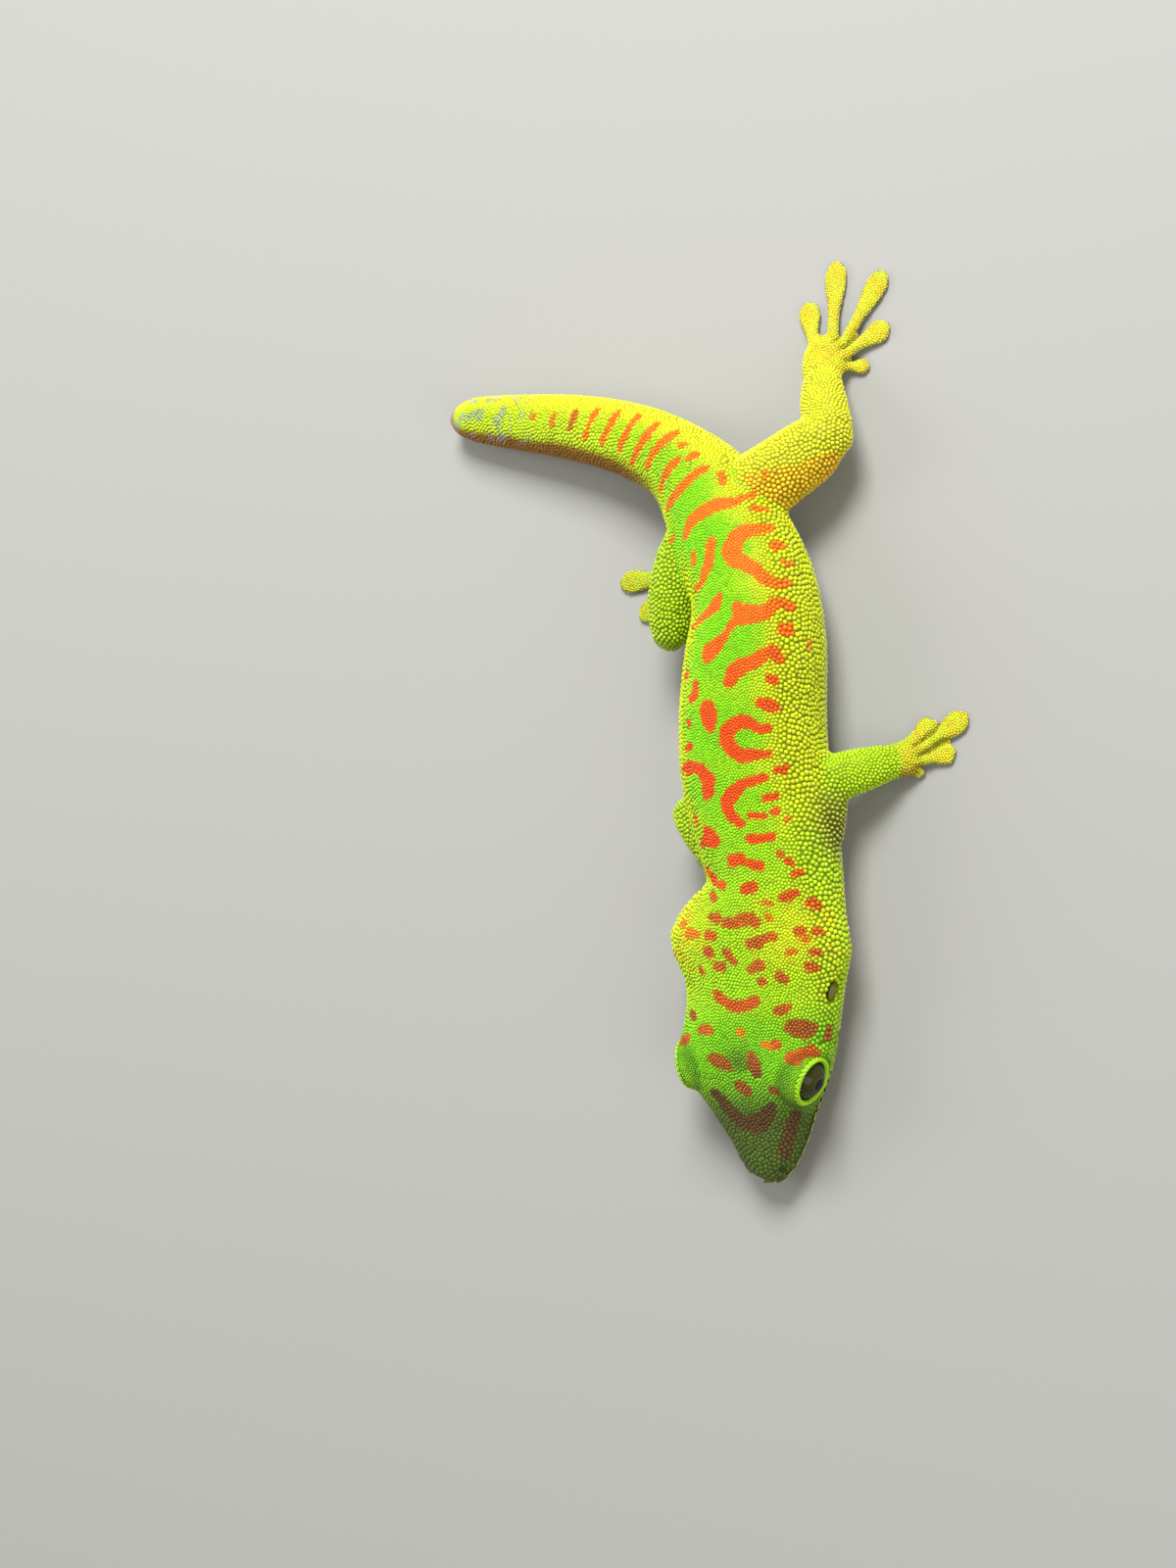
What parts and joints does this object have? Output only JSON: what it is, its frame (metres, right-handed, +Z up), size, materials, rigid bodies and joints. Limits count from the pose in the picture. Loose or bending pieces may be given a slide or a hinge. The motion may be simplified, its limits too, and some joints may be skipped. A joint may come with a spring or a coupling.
{
  "type": "giant day gecko",
  "caption": "Life-size giant day gecko at rest, belly down, its left legs spread, right legs folded close to the body, and a short blunt tail curved to its right.",
  "frame": {"origin": "centre of the belly's flat where the animal lies on the floor", "axes": "+Z up through the back, -Y towards the snout, +X towards the animal's left side"},
  "size_m": [0.096, 0.1497, 0.0204],
  "materials": {
    "head_skin": "small green scales, dry satin",
    "jaw_skin": "pale yellow-green scales, dry satin",
    "body_skin": "green granular scales with orange-red marks, dry satin",
    "tail_skin": "yellow-green granular scales with orange bars, dry satin",
    "tail_tip_skin": "smooth pinkish regrown skin",
    "leg_skin": "green granular scales, dry satin",
    "foot_skin": "yellow scales with pale ridged pads underneath",
    "eye": "wet, glossy",
    "ear_drum": "thin dark membrane"
  },
  "bodies": {
    "root": {"ear_left": "ear_drum", "ear_right": "ear_drum", "eye_left": "eye", "eye_right": "eye", "foreleg_left_foot": "foot_skin", "foreleg_left_lower": "leg_skin", "foreleg_left_toe_1": "foot_skin", "foreleg_left_toe_2": "foot_skin", "foreleg_left_toe_3": "foot_skin", "foreleg_left_toe_4": "foot_skin", "foreleg_left_toe_5": "foot_skin", "foreleg_left_upper": "leg_skin", "foreleg_right_foot": "foot_skin", "foreleg_right_lower": "leg_skin", "foreleg_right_toe_1": "foot_skin", "foreleg_right_toe_2": "foot_skin", "foreleg_right_toe_3": "foot_skin", "foreleg_right_toe_4": "foot_skin", "foreleg_right_toe_5": "foot_skin", "foreleg_right_upper": "leg_skin", "head": "head_skin", "hindleg_left_foot": "foot_skin", "hindleg_left_lower": "leg_skin", "hindleg_left_toe_1": "foot_skin", "hindleg_left_toe_2": "foot_skin", "hindleg_left_toe_3": "foot_skin", "hindleg_left_toe_4": "foot_skin", "hindleg_left_toe_5": "foot_skin", "hindleg_left_upper": "leg_skin", "hindleg_right_foot": "foot_skin", "hindleg_right_lower": "leg_skin", "hindleg_right_toe_1": "foot_skin", "hindleg_right_toe_2": "foot_skin", "hindleg_right_toe_3": "foot_skin", "hindleg_right_toe_4": "foot_skin", "hindleg_right_toe_5": "foot_skin", "hindleg_right_upper": "leg_skin", "lower_jaw": "jaw_skin", "neck": "body_skin", "tail_base": "tail_skin", "tail_bud": "tail_tip_skin", "tail_end": "tail_skin", "torso": "body_skin"}
  },
  "joints": []
}
